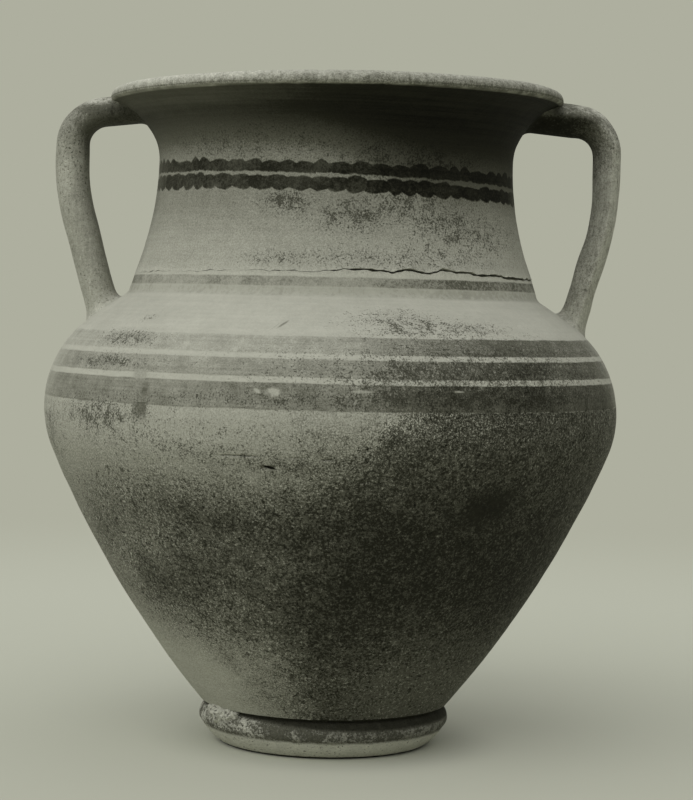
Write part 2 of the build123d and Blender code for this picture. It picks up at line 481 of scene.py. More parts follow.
def crack_shift(side):
    """How far one side of the crack moves up, at each angle."""
    turns, heights, widths = np.array(crack_line).T
    height = np.interp(np.degrees(angles), turns, heights) * 0.001
    width = np.interp(np.degrees(angles), turns, widths) * 0.001 * crack_width_share
    round_seam = turned_points(neck_base[None, :])[0]
    own = layered(round_seam, (crack_edge_waver, crack_edge_size, crack_edge_seed + side))
    open_share = smooth(width, 0.0, crack_full_width)
    return height + layered(round_seam, *crack_waver) + open_share * own + side * width / 2


def cracked(points, line, depth, side):
    """Move a piece's edge at the neck's seam, most on the outside."""
    near = 1 - smooth(np.abs(line[:, 1] - neck_base[1]), 0.0, crack_reach)
    points[..., 2] += crack_shift(side)[None, :] * near[:, None] * (1 - depth)
    return points


def wall_piece(name, outside, inside, foot, head, side=0, extra=None):
    """One thrown section: its outside, its upper seam, its inside and its lower seam."""
    top_seam = straight(outside[-1], head, FINE)
    loop = chain(outside, top_seam, inside[::-1], *foot)[:-1]
    points, depth = surface_grid(outside, loop, extra)
    if side:
        points = cracked(points, loop, depth, side)
    grid_piece(name, points, len(outside) + len(top_seam) - 2)


def grid_piece(name, points, inner_row):
    """A closed section as a piece, bare inside from one row on."""
    rows = len(points)
    inner_faces = np.repeat(np.arange(rows) >= inner_row, SEGMENTS)
    faces = ring_faces(rows, SEGMENTS)
    add_piece(f"{name}_fired", settled(points), faces, name, (clay, bare_clay), inner_faces)


# Shader arithmetic
def plug(node, inputs):
    """Link or set a node's inputs, by name or place."""
    for place, value in inputs.items():
        value = getattr(value, "socket", value)
        if isinstance(value, bpy.types.NodeSocket):
            node.id_data.links.new(value, node.inputs[place])
        else:
            node.inputs[place].default_value = value


def add_node(tree, kind, inputs):
    """A new shader node with its inputs."""
    node = tree.nodes.new("ShaderNode" + kind)
    plug(node, inputs)
    return node


class Signal:
    """A number in a node tree, which sums and multiplies as numbers do."""

    def __init__(self, socket):
        self.socket = socket
        self.tree = socket.id_data

    def math(self, operation, *others, clamp=False):
        node = add_node(self.tree, "Math", dict(enumerate((self, *others))))
        node.operation = operation
        node.use_clamp = clamp
        return Signal(node.outputs[0])

    __add__ = __radd__ = partialmethod(math, "ADD")
    __mul__ = __rmul__ = partialmethod(math, "MULTIPLY")
    __sub__ = partialmethod(math, "SUBTRACT")
    __truediv__ = partialmethod(math, "DIVIDE")
    __neg__ = partialmethod(math, "MULTIPLY", -1.0)
    clipped = partialmethod(math, "ADD", 0.0, clamp=True)
    larger = partialmethod(math, "MAXIMUM")

    def __rsub__(self, other):
        return -self + other

    def faded(self):
        """1 where this is 0, falling off as it grows."""
        return (-self).math("EXPONENT")

    def step(self, low, high):
        """Eased step from 0 at low to 1 at high."""
        node = add_node(self.tree, "MapRange", {"Value": self, "From Min": low, "From Max": high})
        node.interpolation_type = "SMOOTHSTEP"
        return Signal(node.outputs[0])

    def between(self, rising, full, falling, gone):
        """Eased steps up to 1 and down again."""
        return self.step(rising, full) * (1.0 - self.step(falling, gone))

    def band(self, low, high, soft):
        """1 between two values, with soft edges."""
        return self.between(low - soft, low + soft, high - soft, high + soft)

    def toward(self, target, share):
        """This number, moved to another by a share."""
        return self + (target - self) * share

    def less(self, share):
        """This number, lessened by a share of itself."""
        return self * (1.0 - share)


toned_greys = ((13, 13, 6), (255, 255, 238), (39, 39, 29), (98, 98, 86), (172, 173, 157))
clay_gloss = 0.16


def linear(channel):
    return channel / 12.92 if channel <= 0.04045 else ((channel + 0.055) / 1.055) ** 2.4


def grey(channels):
    """A grey of the print as a colour."""
    return (*(linear(channel / 255) for channel in channels), 1.0)


class Surface:
    """Places and noises that a material of the jar is made from."""

    def __init__(self, name):
        self.material = bpy.data.materials.new(name)
        self.material.use_nodes = True
        self.tree = self.material.node_tree
        self.shader = self.tree.nodes["Principled BSDF"]
        self.place = self.tree.nodes.new("ShaderNodeTexCoord").outputs["Object"]
        split = add_node(self.tree, "SeparateXYZ", {0: self.place})
        self.x, self.y, self.height = (Signal(axis) for axis in split.outputs)
        self.radius = (self.x * self.x + self.y * self.y).math("SQRT").larger(0.001)
        self.angle = self.x.math("ARCTAN2", -self.y)
        self.turn = self.angle * (180 / pi)
        self.off_front = self.turn.math("ABSOLUTE")
        self.level = self.height - self.x * self.height.step(tilt_start, jar_height) * rim_tilt

    def noise(self, size, detail=2.0, rough=0.5, shift=0.0, stretch=(1, 1, 1)):
        """Noise from 0 to 1 with lumps of one size, which a stretch draws out."""
        scale = tuple(1 / (size * along) for along in stretch)
        placed = {"Vector": self.place, "Location": (shift, shift, shift), "Scale": scale}
        mapping = add_node(self.tree, "Mapping", placed)
        kind = {"Vector": mapping.outputs[0], "Scale": 1.0, "Detail": detail, "Roughness": rough}
        return Signal(add_node(self.tree, "TexNoise", kind).outputs[0])

    def swings(self, *noises):
        """Several noises, each from -0.5 to 0.5."""
        return [self.noise(*noise) - 0.5 for noise in noises]

    def facing(self, angle):
        """1 where the surface lies at this angle round the jar, -1 opposite."""
        turn = radians(angle)
        return (self.x * sin(turn) - self.y * cos(turn)) / self.radius

    def patch(self, angle, height, half_angle, half_height):
        """Soft spot round a place on the jar, 1 at its middle."""
        aside = (1.0 - self.facing(angle)) * (2 / radians(half_angle) ** 2)
        above = (self.height - height) * (1 / half_height)
        return (aside + above * above).faded()

    def patches(self, places):
        """Several soft spots, each with its strength, laid over each other."""
        return sum(self.patch(*place) * strength for *place, strength in places)

    def stroke(self, angle, height, tilt, half_length, half_width):
        """Soft line on the jar, 1 along its middle, tilted by degrees."""
        turn, slope = radians(angle), radians(tilt)
        aside = self.x * cos(turn) + self.y * sin(turn)
        above = self.height - height
        along = (aside * cos(slope) + above * sin(slope)) * (1 / half_length)
        across = (above * cos(slope) - aside * sin(slope)) * (1 / half_width)
        return (along * along + across * across).faded() * self.facing(angle).step(0.6, 0.9)

    def finish(self, tone, relief, relief_height, roughness):
        """The material, with its tone turned into the print's toned greys."""
        ramp = add_node(self.tree, "ValToRGB", {0: tone})
        stops = ramp.color_ramp.elements
        for place, channels in enumerate(toned_greys):
            stop = stops[place] if place < 2 else stops.new(1.0)
            stop.position = channels[1] / 255
            stop.color = grey(channels)
        bump = add_node(self.tree, "Bump", {"Strength": 1.0, "Distance": relief_height, "Height": relief})
        plug(self.shader, {"Base Color": ramp.outputs[0], "Normal": bump.outputs[0]})
        plug(self.shader, {"Roughness": roughness, "Specular IOR Level": clay_gloss})
        return self.material


# Painted bands: lowest and highest height, then tone on the worn left and on the right
shoulder_bands = (
    (0.3028, 0.3147, 0.540, 0.340),
    (0.2868, 0.2993, 0.490, 0.300),
    (0.2646, 0.2828, 0.435, 0.230),
)
collar_band, collar_streaks = (0.3495, 0.3563), (0.3425, 0.3495)
neck_bands_tilt = 0.020
# Scalloped bands: their seed, lowest and highest height, and how far each edge's dabs swell
neck_scallops = 61
neck_bands = (
    (5.0, 0.4302, 0.4366, 0.0005, 0.0028),
    (7.5, 0.4186, 0.4262, 0.0022, 0.0012),
)
# Angles between which the slip is darker, and where the handles' shelter thinned it, and by how much
slip_dark = (-5, 33, 110, 175)
slip_thin_angle, slip_thin_half_angle, slip_thinned = 84, 11, 0.6
# A run of slip below the lowest band: its eased heights, its angles and its tone
drip_heights, drip_angles, drip_tone = (0.2500, 0.2590, 0.2655, 0.2665), (-39.3, -35.7), 0.42


def painted(s, tone, wobble, cloudy, fine, grain, streaks, worn):
    """The bands of thin slip, laid over a tone."""
    aside = (s.off_front - slip_thin_angle) * (1 / slip_thin_half_angle)
    kept = 1.0 - (aside * aside).faded() * slip_thinned
    height = s.height + wobble * 0.0016
    darker = s.turn.between(*slip_dark)
    speckled = (grain * 0.30 + fine * 0.25) * (darker + 1.0)
    for low, high, left, right in shoulder_bands:
        slip = left + darker * (right - left) + cloudy * 0.22 + streaks * 0.10 + speckled
        tone = tone.toward(slip, height.band(low, high, 0.0005) * (0.66 + worn * 0.34) * kept)
    slip = 0.45 - darker * 0.10 + cloudy * 0.25 + speckled
    tone = tone.toward(slip, height.band(*collar_band, 0.0006) * (0.45 + worn * 0.55))
    tone = tone.toward(0.53 + cloudy * 0.2, height.band(*collar_streaks, 0.0012) * (0.3 + worn * 0.5))

    level = s.height + s.x * neck_bands_tilt + wobble * 0.0016 + cloudy * 0.0012 + fine * 0.0026
    for phase, low, high, low_swell, high_swell in neck_bands:
        uneven = (s.noise(0.035, 2, shift=phase) - 0.5) * 1.8 + phase
        turns = s.angle * (neck_scallops / (2 * pi)) + uneven
        waves = (turns * pi).math("SINE").math("ABSOLUTE")
        dab = ((turns.math("FLOOR") + phase) * 78.2).math("SINE") * 43.7
        dab = dab.math("FRACT") - 0.5
        swell, sunk = waves * (1.0 + dab), level - dab * 0.0012
        band = (sunk + swell * low_swell).step(low - 0.0002, low + 0.0010)
        band = band.less((sunk - swell * high_swell).step(high - 0.0002, high + 0.0010))
        slip = 0.31 - darker * 0.13 + cloudy * 0.16 + wobble * 0.30 + dab * 0.03 + grain * 0.35
        tone = tone.toward(slip, band * (0.80 + worn * 0.20) * kept)
    low, full, falling, gone = drip_heights
    drip = (height + cloudy * 0.004).step(low, full).less(height.step(falling, gone))
    drip = drip * (s.turn + fine * 2.0).band(*drip_angles, 0.35)
    return tone.toward(drip_tone + cloudy * 0.3 + speckled, drip * 0.9)


# Soot, dark slip and painted shade under the lip: where it starts and is thickest, and its tone, each on
# the left and the right
soot_and_shade_starts, soot_and_shade_full = (0.439, 0.396), (0.479, 0.468)
soot_and_shade_tones = (0.215, 0.080)
# Angles between which the tone of the soot and painted shade, and its height, are those of the right side
soot_and_shade_dark, soot_and_shade_heavy = (-44, 14, 120, 175), (-12, 40, 120, 175)


def sooted_and_shaded(s, tone, cloudy, fine, grain, streaks):
    """Soot and dark slip under the lip with painted shade, darker and lower on the right, painted shade up
    the neck, and the lip's mottled edge with painted light.
    """
    # Painted shade with the soot: darker, and reaching further down the neck, on the right side away from
    # the light
    right, reaches_lower = s.turn.between(*soot_and_shade_dark), s.turn.between(*soot_and_shade_heavy)
    low, high, dark = (
        share * (ends[1] - ends[0]) + ends[0]
        for share, ends in ((reaches_lower, soot_and_shade_starts), (reaches_lower, soot_and_shade_full), (right, soot_and_shade_tones))
    )
    sides = s.off_front.step(6, 34)
    edge = (s.level + cloudy * 0.001 - sides * 0.0008).step(lip_edge[1] - 0.0014, lip_edge[1] + 0.0002)
    dark = dark + cloudy * 0.06 + streaks * 0.12 + fine * 0.08 + grain * 0.12
    # Painted light: the lip's underside lighter on the left, where light reaches under it
    under = s.level.step(0.474, 0.488).less(right * 0.7) * 0.09
    # Painted shade: the neck darker as it rises towards the lip
    painted_neck_shade = s.level.step(0.356, 0.368) * 0.060 + s.level.step(0.370, 0.415) * 0.075
    # Soot and painted shade under the lip, with its streaks
    soot_and_shade = (s.level + streaks * 0.012 + cloudy * 0.010 + fine * 0.006).step(low, high)
    tone = tone - painted_neck_shade + (streaks * 0.45 + grain * 0.30 + fine * 0.20) * soot_and_shade.less(soot_and_shade)
    tone = tone.toward(dark + under, soot_and_shade.less(edge))
    # Painted light: the lip's face paler towards its top
    top = (s.level + cloudy * 0.003).step(lip_edge[1] + 0.001, jar_height - 0.001)
    mottled = 0.51 - right * 0.09 + top * 0.12 + cloudy * 0.16 + fine * 0.38 + grain * 0.55
    tone = tone.toward(mottled, edge)
    # Painted shade: a dark line just above the arris
    painted_groove_shade = s.level.band(lip_edge[1] + 0.0012, lip_edge[1] + 0.0018, 0.0005)
    # Painted highlight: a pale line along the arris
    line = s.level.band(lip_edge[1] - 0.0012, lip_edge[1] + 0.0001, 0.0004)
    tone = tone.less(painted_groove_shade * sides * 0.22)
    return tone.toward(0.55, (line * (sides * 0.55 + 0.1 + cloudy * 1.2)).clipped())


# Specks: angle, height, half angle, half height and how thick they lie
speckle_places = (
    (-15, 0.410, 7, 0.008, 0.50), (3, 0.399, 11, 0.012, 0.44), (22, 0.410, 14, 0.012, 0.40),
    (38, 0.388, 18, 0.018, 0.38), (26, 0.440, 30, 0.018, 0.44), (12, 0.370, 26, 0.009, 0.30),
    (-16, 0.369, 12, 0.007, 0.26), (62, 0.390, 26, 0.026, 0.20), (14, 0.326, 12, 0.009, 0.36),
    (30, 0.322, 15, 0.007, 0.22), (-45, 0.3245, 3, 0.003, 0.36), (-47, 0.310, 10, 0.006, 0.55),
    (-50, 0.293, 15, 0.006, 0.45), (-20, 0.271, 40, 0.006, 0.20), (-20, 0.250, 40, 0.012, 0.16),
    (32, 0.290, 42, 0.024, 0.52), (34, 0.272, 26, 0.008, 0.34), (-50, 0.256, 12, 0.012, 0.52),
    (-74, 0.238, 10, 0.028, 0.40), (-30, 0.234, 30, 0.012, 0.26), (-8, 0.226, 14, 0.007, 0.30),
    (-32, 0.452, 34, 0.016, 0.30), (-30, 0.400, 20, 0.016, 0.12), (-20, 0.060, 9, 0.004, 0.34),
    (-8, 0.052, 9, 0.004, 0.34), (14, 0.076, 9, 0.004, 0.30),
)

# Strokes: angle, height, tilt in degrees, half length, half width, tone and strength
strokes = (
    (-10.4, 0.3228, 38, 0.0045, 0.0009, 0.46, 0.9), (-12.2, 0.3208, 38, 0.0060, 0.0008, 0.54, 0.6),
    (-12.6, 0.3202, 38, 0.0050, 0.0006, 0.72, 0.45), (-38.5, 0.2850, 0, 0.0065, 0.0034, 0.54, 1.3),
    (-36.6, 0.2740, 80, 0.0070, 0.0042, 0.33, 0.55), (-37.0, 0.2500, 80, 0.0060, 0.0030, 0.52, 0.5),
    (-42.0, 0.2550, 10, 0.0080, 0.0014, 0.40, 0.6), (-10.4, 0.2766, 8, 0.0055, 0.0032, 0.62, 1.3),
    (-13.4, 0.2772, -30, 0.0028, 0.0014, 0.60, 1.1), (5.6, 0.2781, 0, 0.0070, 0.0012, 0.56, 0.9),
    (4.4, 0.2706, 70, 0.0035, 0.0010, 0.56, 0.8), (24.0, 0.2790, 0, 0.0050, 0.0009, 0.55, 0.8),
    (-18.8, 0.3075, 60, 0.0060, 0.0040, 0.62, 0.6), (-30.0, 0.3075, 60, 0.0050, 0.0035, 0.62, 0.6),
    (-11.2, 0.2250, -12, 0.0040, 0.0008, 0.07, 1.6), (34.0, 0.1970, 10, 0.0330, 0.0170, 0.12, 0.8),
)

# The soil stain: top and foot on the lighter left, heart and half height on the heavy right
soil_top, soil_foot = (0.175, 0.254), (0.060, 0.145)
soil_heart, soil_half_height = 0.155, 0.065
soil_edge = (0.2640, 0.2654)
# Places where it lies thicker or thinner: angle, height, half angle, half height and how much
soil_places = (
    (-14, 0.176, 13, 0.034, 0.15), (-56, 0.150, 10, 0.022, -0.14), (-27, 0.155, 8, 0.018, -0.12),
    (6, 0.226, 9, 0.018, -0.15), (12, 0.262, 7, 0.014, -0.22),
)


def soil_share(s, broad, cloudy):
    """How thick the soil stain lies on the belly."""
    left = (0.57 + broad * 0.6) * s.height.step(*soil_foot).less(s.height.step(*soil_top))
    left = left.less(s.off_front.step(50, 85) * 0.45)
    above = (s.height - soil_heart) * (1 / soil_half_height)
    right = ((above * above).faded() * 0.30 + 0.64).less(s.turn.step(50, 90) * 0.30)
    border = s.height.step(0.10, 0.20) * 16 + s.height.step(0.225, 0.264) * 11 - 17.0
    side = (s.turn - border + broad * 34 + cloudy * 22).step(-24, 22).less(s.turn.step(110, 170))
    soil = (left.toward(right, side) + s.patches(soil_places)).larger(0.0)
    ragged_edge = (s.height + cloudy * 0.004).step(*soil_edge)
    return (soil + broad * 0.26 + cloudy * 0.26 * (soil * 4).clipped()).less(ragged_edge).clipped()


# The finest noise, which all outer clays share
grain_noise = (0.0011, 3, 0.8, 11.0)


def clay_material():
    """The outside: pale clay with thin painted bands, soot and painted shade under the lip, a soil stain
    and specks.
    """
    s = Surface("clay_with_slip")
    broad, wobble, cloudy, fine, streaks, grain, clumps = s.swings(
        (0.07, 3), (0.02, 3), (0.012, 5, 0.6, 2.0), (0.0030, 4, 0.65, 3.0),
        (0.0016, 2, 0.5, 0.0, (50, 50, 1)), grain_noise, (0.0065, 3, 0.6, 13.0),
    )
    mottle = s.noise(0.0021, 4, 0.8, 4.0)
    worn = (fine * 1.4 + broad * 0.8 + 0.5).step(0.38, 0.62)

    lower = 1.0 - s.height.step(0.262, 0.270)
    gritty = 0.10 + lower * 0.32 + s.height.step(0.352, 0.362) * 0.28
    tone = 0.610 + s.turn.step(-10, 30) * 0.02 - lower * 0.035
    tone = tone + broad * 0.07 + cloudy * 0.07 + fine * 0.06 + streaks * 0.05 + grain * gritty
    tone = painted(s, tone, wobble, cloudy, fine, grain, streaks, worn)
    tone = sooted_and_shaded(s, tone, cloudy, fine, grain, streaks)

    # Soil, lacy where it is thin
    soil = soil_share(s, broad, cloudy)
    tone = tone.toward(0.195 + cloudy * 0.10, soil * 0.92)
    muddy = (soil * 2.5).clipped()
    low_right = s.turn.step(-5, 30).less(s.height.step(0.045, 0.115))
    lacy = muddy * (1.0 - low_right * 0.7 + s.patch(26, 0.258, 28, 0.022) * 1.8)
    tone = tone + (grain * 1.00 + (mottle - 0.5) * 0.36 + clumps * 0.24) * lacy * (tone + 0.20)

    # Dark specks in the soil, spots of dirt over it, small pits and pale flakes
    thick = (soil * 0.70).less(low_right * 0.6)
    thick = (thick * (1.0 + clumps * 2.4) + cloudy * 0.30 * muddy).clipped()
    specks = (mottle + muddy * 0.055 + thick * 0.27).step(0.635, 0.745) * (thick * 6).clipped()
    spots = (s.patches(speckle_places) * (1.0 + clumps * 3.0 + cloudy * 1.5)).clipped()
    spots = (s.noise(0.0013, 4, 0.8, 6.0) + spots * 0.30).step(0.610, 0.720) * (spots * 5).clipped()
    pits = (s.noise(0.0055, 2, shift=17.0) + soil * 0.03).step(0.70, 0.73) * muddy
    tone = tone.less(specks * 0.55).less(pits * 0.55).less(spots * 0.43)
    spotty = muddy.larger(s.patch(36, 0.288, 48, 0.024))
    flakes = (s.noise(0.0022, 4, 0.8, 8.0) + spotty * 0.08).step(0.61, 0.71) * spotty
    tone = tone + flakes * 0.17
    for *place, shade, strength in strokes:
        mark = s.stroke(*place) * strength
        mark = (mark * (1.0 + cloudy * 1.6 + fine * 1.6)).step(0.12, 0.85)
        tone = tone.toward(shade + cloudy * 0.2 + grain * 0.2, mark)

    relief = fine * 0.7 + cloudy * 0.4 - (specks + spots) * 0.25 + streaks * 0.25
    return s.finish(tone, relief, 0.0006, 0.84 + fine * 0.2)


def bare_material():
    """The inside: unpainted clay with fine wiping streaks, darker and more specked low down."""
    s = Surface("bare_clay")
    broad, fine, streaks = s.swings((0.07, 3), (0.0035, 4, 0.65), (0.0018, 3, 0.5, 0.0, (40, 40, 1)))
    # Darker and more specked towards the bottom
    low_down = 1.0 - s.height.step(0.04, 0.30)
    tone = 0.62 + broad * 0.16 + fine * 0.08 + streaks * 0.10 - low_down * 0.12
    specks = (s.noise(0.0022, 3, 0.7, 4.0) + broad * 0.3 + low_down * 0.05).step(0.66, 0.74)
    return s.finish(tone.less(specks * 0.40), fine * 0.7 + streaks * 0.5, 0.0007, 0.9 + fine * 0.1)


def handle_material():
    """Handles: plain clay, with soot and painted shade near the lip, painted light on their tops and on
    the right one's outer bend, and fine lines from the pulling.
    """
    s = Surface("handled_clay")
    broad, cloudy, fine, pulled, grain = s.swings(
        (0.05, 3), (0.010, 4, 0.6), (0.0026, 4, 0.65, 3.0),
        (0.0020, 2, 0.5, 0.0, (1, 1, 30)), grain_noise,
    )
    mottle = s.noise(0.0020, 3, 0.7, 4.0)
    low, top = 1.0 - s.height.step(0.330, 0.352), s.height.step(0.425, 0.470)
    # Painted shade where the strap runs close under the lip, darker on the right handle
    near_lip = top.less(s.radius.step(0.165, 0.205))
    rough = 1.0 + s.x.step(0.0, 0.1) * 0.7
    tone = 0.535 + low * 0.05 + broad * 0.16
    tone = tone + (cloudy * 0.16 + fine * 0.18 + pulled * 0.10 + grain * 0.30) * rough
    # Painted light: the right handle's outer bend paler, where it faces up
    tone = tone + s.x.step(0.19, 0.23) * 0.05
    # Soot and painted shade high up on the straps, darker on the right handle
    handle_soot_and_shade = top.less(s.radius.step(0.190, 0.212) * 0.7) * (0.19 + s.x * 0.25)
    tone = (tone - handle_soot_and_shade - near_lip * (0.18 + s.x * 0.25)).larger(0.110 + cloudy * 0.05)
    # The strap's top paler: pale crust, and painted light where it faces up
    tone = tone + s.height.step(0.4815, 0.4890) * (0.24 + cloudy * 0.4)
    thick = 0.16 + broad * 0.6 + top * 0.14
    tone = tone.less((mottle + thick * 0.36).step(0.655, 0.760) * 0.32)
    tone = tone + (s.noise(0.0030, 3, 0.7, 6.0) + cloudy * 0.2).step(0.64, 0.70) * 0.10
    return s.finish(tone, fine * 0.8 + cloudy * 0.4 + pulled * 0.3, 0.0006, 0.84 + fine * 0.2)


def luting_material():
    """Clay pressed over the seams: gritty, limy and left rough."""
    s = Surface("luting_clay")
    cloudy, fine = s.swings((0.008, 4, 0.65), (0.0018, 4, 0.7))
    tone = 0.66 + cloudy * 0.40 + fine * 0.50
    grit = (s.noise(0.0020, 4, 0.8, 4.0) + cloudy * 0.5).step(0.52, 0.64)
    relief = fine + cloudy * 0.6 - grit * 0.4
    return s.finish(tone.less(grit * 0.50), relief, 0.0009, 0.92 + fine * 0.1)


# The foot's painted shadow under the body's overhang, in its groove and over its moulding's top: its lower
# border on the left and on the right
foot_shadow_left, foot_shadow_right = 0.0285, 0.0228


def foot_material():
    """The foot: painted shadow in its groove and over its moulding's top, lime crust on its moulding, a
    rubbed lower band and a painted contact shadow where it stands.
    """
    s = Surface("foot_clay")
    broad, cloudy, fine, grain = s.swings(
        (0.05, 2), (0.009, 5, 0.65, 2.0), (0.0022, 4, 0.65, 3.0), grain_noise
    )
    mottle = s.noise(0.0020, 3, 0.7, 4.0)
    right = s.turn.between(-50, 20, 120, 175)
    band = 0.66 + right * 0.06 + cloudy * 0.22 + fine * 0.14 + grain * 0.25
    ragged = s.height + cloudy * 0.004 + fine * 0.002
    moulding = ragged.step(0.0120, 0.0150)
    limy = (mottle + cloudy * 0.9 + broad * 0.5).step(0.40, 0.62)
    crust = 0.36 - right * 0.05 + limy * (0.30 - right * 0.14) + fine * 0.25 + grain * 0.4
    tone = band.toward(crust, moulding)
    border = right * (foot_shadow_right - foot_shadow_left) + foot_shadow_left
    # Painted shadow under the body's overhang, reaching lower on the right
    tone = tone.toward(0.17 + cloudy * 0.08, (ragged - border).step(-0.0012, 0.0018) * 0.94)
    # Painted shadow: a dark line where the foot meets the floor
    tone = tone.toward(0.10, 1.0 - (s.height + cloudy * 0.001).step(0.0006, 0.0022))
    tone = tone.less((mottle + (cloudy + 0.30) * 0.2).step(0.66, 0.74) * 0.45)
    relief = fine + cloudy * 0.7 + limy * moulding * 0.6
    return s.finish(tone, relief, 0.0009, 0.88 + fine * 0.15)


clay = clay_material()
bare_clay = bare_material()
handled_clay = handle_material()
luting_clay = luting_material()
foot_clay = foot_material()

# Short cracks by the belly's seam: first and last angle, height, half width and depth
gash_window = (0.212, 0.2345)
gashes = (
    (-21.0, -12.8, 0.2320, 0.00045, 0.0012), (-12.6, -9.8, 0.2248, 0.00080, 0.0022),
    (-1.9, 0.9, 0.2316, 0.00060, 0.0016), (5.7, 8.2, 0.2158, 0.00060, 0.0014),
    (8.6, 10.8, 0.2150, 0.00055, 0.0012), (-8.0, -4.0, 0.2322, 0.00035, 0.0007),
    (14.0, 17.5, 0.2270, 0.00045, 0.0010),
)
gash_waver = (0.0007, 0.005, 61)
gash_end = 0.9  # degrees over which each runs out


def gashed(anchor):
    """Depth of the short cracks."""
    turn, height = angle_of(anchor), anchor[..., 2] - layered(anchor, gash_waver)
    total = 0
    for first, last, middle, half_width, depth in gashes:
        ends = smooth(turn, first, first + gash_end) * (1 - smooth(turn, last - gash_end, last))
        total = total - depth * ends * bell(height, middle, half_width)
    return total


# Damage, each with its depth, lump size and seed, and the levels between which the lumps count
lip_nicks, nick_levels = (0.0013, 0.013, 62), (0.62, 0.9)
lip_bites, bite_levels = (0.0009, 0.006, 63, 1, 1, 0.4), (0.35, 0.8)
foot_chips, chip_levels = (0.0012, 0.012, 67), (0.4, 0.8)
lip_face_grain = (0.00010, 0.0042, 64)


def bitten(anchor, damage, levels):
    """How deep the surface is chipped."""
    depth, *lump = damage
    return depth * smooth(layered(anchor, (1, *lump)), *levels)


def chipped(anchor):
    """Small chips off the lip's edges and a coarse grain on its face."""
    height = anchor[..., 2]
    top = bell(height, jar_height, 0.0035) * bitten(anchor, lip_nicks, nick_levels)
    arris = bell(height, lip_edge[1], 0.0016) * bitten(anchor, lip_bites, bite_levels)
    face = smooth(height, lip_edge[1], lip_edge[1] + 0.003)
    return face * layered(anchor, lip_face_grain) - top - arris


# Lime crust: its height, how far up the moulding its middle lies, its half width and its front
crust_height, crust_rise, crust_half_width = 0.0011, 0.6, 0.0062
crust_angle, crust_half_angle, crust_elsewhere = -25, 65, 0.35
foot_chip_heights = (0.001, 0.006)


def crusted(anchor):
    """Lime crust on the foot's moulding, thickest on the front left, and chips low down."""
    height = anchor[..., 2]
    middle = foot_band_height + foot_crest_rise * crust_rise
    front = bell(angle_of(anchor), crust_angle, crust_half_angle)
    side = crust_elsewhere + (1 - crust_elsewhere) * front
    crust = smooth(lumps(anchor, 0.009, 65), -0.1, 0.5) * (0.7 + 0.5 * lumps(anchor, 0.0026, 66))
    low = 1 - smooth(height, *foot_chip_heights)
    on_moulding = bell(height, middle, crust_half_width)
    return crust_height * on_moulding * side * crust - low * bitten(anchor, foot_chips, chip_levels)


def turned_piece(name, outside, loop, material, extra=None):
    """A closed section swung round the jar, all of one material."""
    points, _ = surface_grid(outside, loop, extra)
    add_piece(f"{name}_fired", points, ring_faces(len(loop), SEGMENTS), name, (material,))


# The thrown sections
floor_rim = np.array([floor_edge[0] - floor_bevel, foot_height])
foot_seat = straight(floor_edge, floor_rim), straight(floor_rim, wall_foot, COARSE)
gashed_outside = finer_between(lower_outside, *gash_window, FINEST)
wall_piece("lower_wall", gashed_outside, lower_inside, foot_seat, belly_seam[1], extra=gashed)
wall_piece("upper_wall", upper_outside, upper_inside, (straight(*belly_seam[::-1]),), neck_seam[1], -1)
wall_piece("neck", neck_outside, neck_inside, (straight(*neck_seam[::-1]),), lip_seam[1], 1)

# The lip, with extra points on its face. The bare inside starts some rows past its inner edge
lip_fine_depth, lip_fine_step, lip_brink_rows = 0.004, 0.001, 6
lip_fine = finer_between(lip_outside, lip_edge[1] - lip_fine_depth, 1, lip_fine_step)
lip_rounded = eased(lip_fine, lip_inside[::-1], lip_inner_fillet)
lip_loop = chain(lip_rounded, straight(*lip_seam[::-1]))[:-1]
lip_points, _ = surface_grid(lip_rounded, lip_loop, chipped)
lip_brink = int(lengths(lip_loop - lip_inner_top).argmin()) + lip_brink_rows
grid_piece("lip", lip_points, lip_brink)

foot_inner_top = np.array([groove_radius - foot_top_width, foot_height])
foot_inner_base = np.array([foot_contact_radius - foot_contact_width, 0])
foot_loop = chain(
    foot_outside,
    straight(groove_end, foot_inner_top, COARSE),
    straight(foot_inner_top, foot_inner_base),
    straight(foot_inner_base, band_start),
)[:-1]
turned_piece("foot_ring", foot_outside, foot_loop, foot_clay, crusted)

# Floor disc, closed round a pinhole at the axis
floor_pinhole = 0.0004
floor_under = straight((floor_pinhole, foot_height), floor_rim, COARSE)
floor_loop = chain(straight(floor_edge, (floor_pinhole, floor_top), COARSE), floor_under)
turned_piece("floor_disc", floor_under, floor_loop, bare_clay)

# Coils of clay pressed over the seams inside
coil_rows, coil_segments = 28, 420
thumb_marks, thumb_depth = 40, 0.10
coil_unevenness, coil_lump = 0.12, 0.03


def inner_coil(name, seam_end, slope, length, rise, seed):
    """A rolled coil, flattened over a seam by the potter's thumb, half of it sunk in the wall."""
    turns = np.linspace(0, 2 * pi, coil_rows, endpoint=False)[:, None]
    along = unit(slope)
    across = left_of(along)
    round_jar = full_turn(coil_segments)
    spots = turned_points(np.array([seam_end]), round_jar)[0]
    presses = np.abs(np.sin(round_jar * thumb_marks / 2))
    swell = 1 + thumb_depth * presses + layered(spots, (coil_unevenness, coil_lump, seed))
    reach = along * length * np.cos(turns) + across * rise * np.sin(turns)
    out, up = (seam_end + reach * swell[:, None, None]).T
    faces = ring_faces(coil_rows, coil_segments)
    points = settled(swung(out, up, round_jar))
    add_piece(f"{name}_pressed", points, faces, name, (luting_clay,))


belly_slope = atan2(*left_of(unit(-belly_seam_angle))[::-1])
neck_slope = atan2(*(-heading_after(waist, DOWN, neck_base))[::-1])
inner_coil("floor_seam_coil", floor_edge, 0, floor_coil_radius, floor_coil_radius, 21)
inner_coil("belly_seam_coil", belly_seam[1], belly_slope, belly_coil_length, belly_coil_rise, 22)
inner_coil("neck_seam_coil", neck_seam[1], neck_slope, neck_coil_length, neck_coil_rise, 23)

